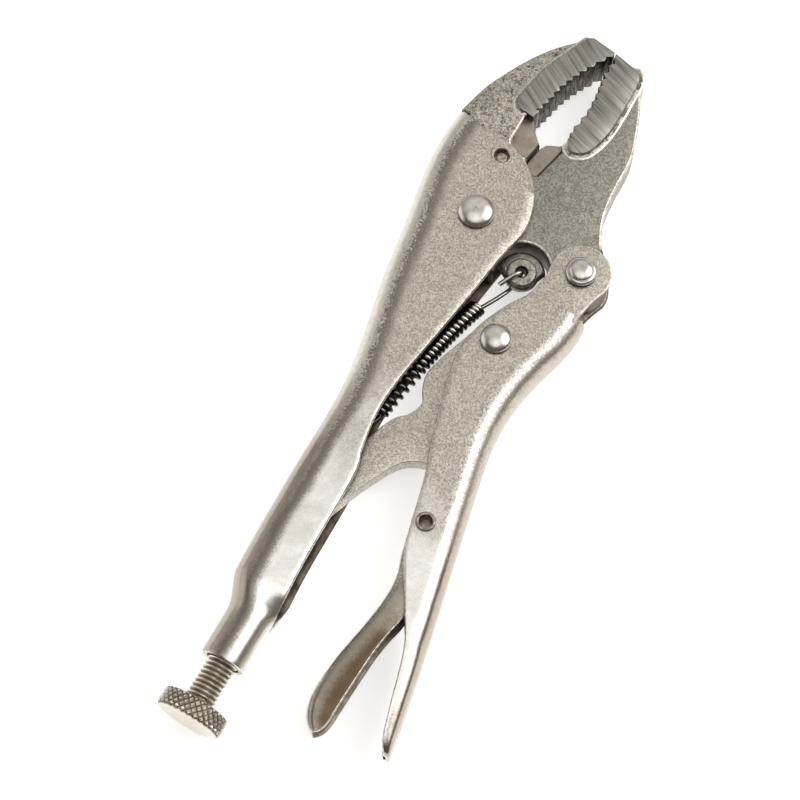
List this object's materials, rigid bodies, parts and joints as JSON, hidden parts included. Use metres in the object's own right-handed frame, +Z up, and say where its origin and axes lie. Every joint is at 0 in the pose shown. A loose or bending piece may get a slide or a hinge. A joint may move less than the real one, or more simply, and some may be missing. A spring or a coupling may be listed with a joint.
{
  "type": "locking pliers",
  "caption": "Curved jaw locking pliers with a wire cutter, toggle lock, release lever and knurled adjusting screw, closed and locked",
  "frame": {"origin": "on the main rivet's axis, at the flat of its lower head, where the tool rests when it lies on its side", "axes": "+X to the jaw tips along the adjusting screw's axis, +Y to the back of the fixed handle, +Z up, along the rivets"},
  "size_m": [0.2599, 0.0857, 0.0216],
  "materials": {
    "plated_handle": "satin nickel plate over shot-blasted pressed steel, smoother towards the rear",
    "plated_lever": "satin nickel plate over pressed steel, warmer on the inside",
    "forged_jaw": "nickel plate over shot-blasted forging, with ground steel tooth blocks",
    "link_plate": "nickel plate over blanked steel plate",
    "rivet_steel": "bright nickel plate on a domed head",
    "pin_steel": "nickel plated pin, dull in its recess",
    "spring_wire": "oiled black spring wire, semi-gloss",
    "screw_steel": "nickel plate on a rolled thread and a diamond knurl"
  },
  "bodies": {
    "root": {"fixed_handle": "plated_handle", "fixed_jaw": "forged_jaw", "jaw_tang_pin": "pin_steel", "main_rivet": "rivet_steel", "tension_spring": "spring_wire"},
    "jaw": {"movable_jaw": "forged_jaw"},
    "handle": {"lower_handle": "plated_handle", "handle_rivet": "rivet_steel", "link_rivet": "rivet_steel", "lever_pin": "pin_steel"},
    "link": {"toggle_link": "link_plate"},
    "lever": {"release_lever": "plated_lever"},
    "screw": {"adjusting_screw": "screw_steel"},
    "knob": {"screw_knob": "screw_steel"}
  },
  "joints": [
    {"name": "jaw_pivot", "type": "hinge", "parent": "root", "child": "jaw", "pos_m": [0, 0, 0.0108], "axis": [0, 0, -1], "range_deg": [0, 26], "deforming": ["tension_spring"]},
    {"name": "handle_pivot", "type": "hinge", "parent": "jaw", "child": "handle", "pos_m": [-0.0023, -0.0388, 0.0108], "axis": [0, 0, 1], "range_deg": [0, 81.2]},
    {"name": "link_pivot", "type": "hinge", "parent": "handle", "child": "link", "pos_m": [-0.0355, -0.0265, 0.0108], "axis": [0, 0, -1], "range_deg": [0, 78]},
    {"name": "lever_pivot", "type": "hinge", "parent": "handle", "child": "lever", "pos_m": [-0.0982, -0.0366, 0.0108], "axis": [0, 0, 1], "range_deg": [0, 8]},
    {"name": "screw_travel", "type": "slide", "parent": "root", "child": "screw", "axis": [1, 0, 0], "range_m": [-0.009, 0.003]},
    {"name": "screw_turn", "type": "hinge", "parent": "screw", "child": "knob", "pos_m": [-0.181, -0.0047, 0.0108], "axis": [1, 0, 0], "range_deg": [-2162, 722]}
  ],
  "couplings": [
    {"joint": "handle_pivot", "follows": "jaw_pivot", "ratio": 3.115},
    {"joint": "link_pivot", "follows": "jaw_pivot", "ratio": 2.991},
    {"joint": "screw_turn", "follows": "screw_travel", "rad_per_m": 4188.8}
  ]
}
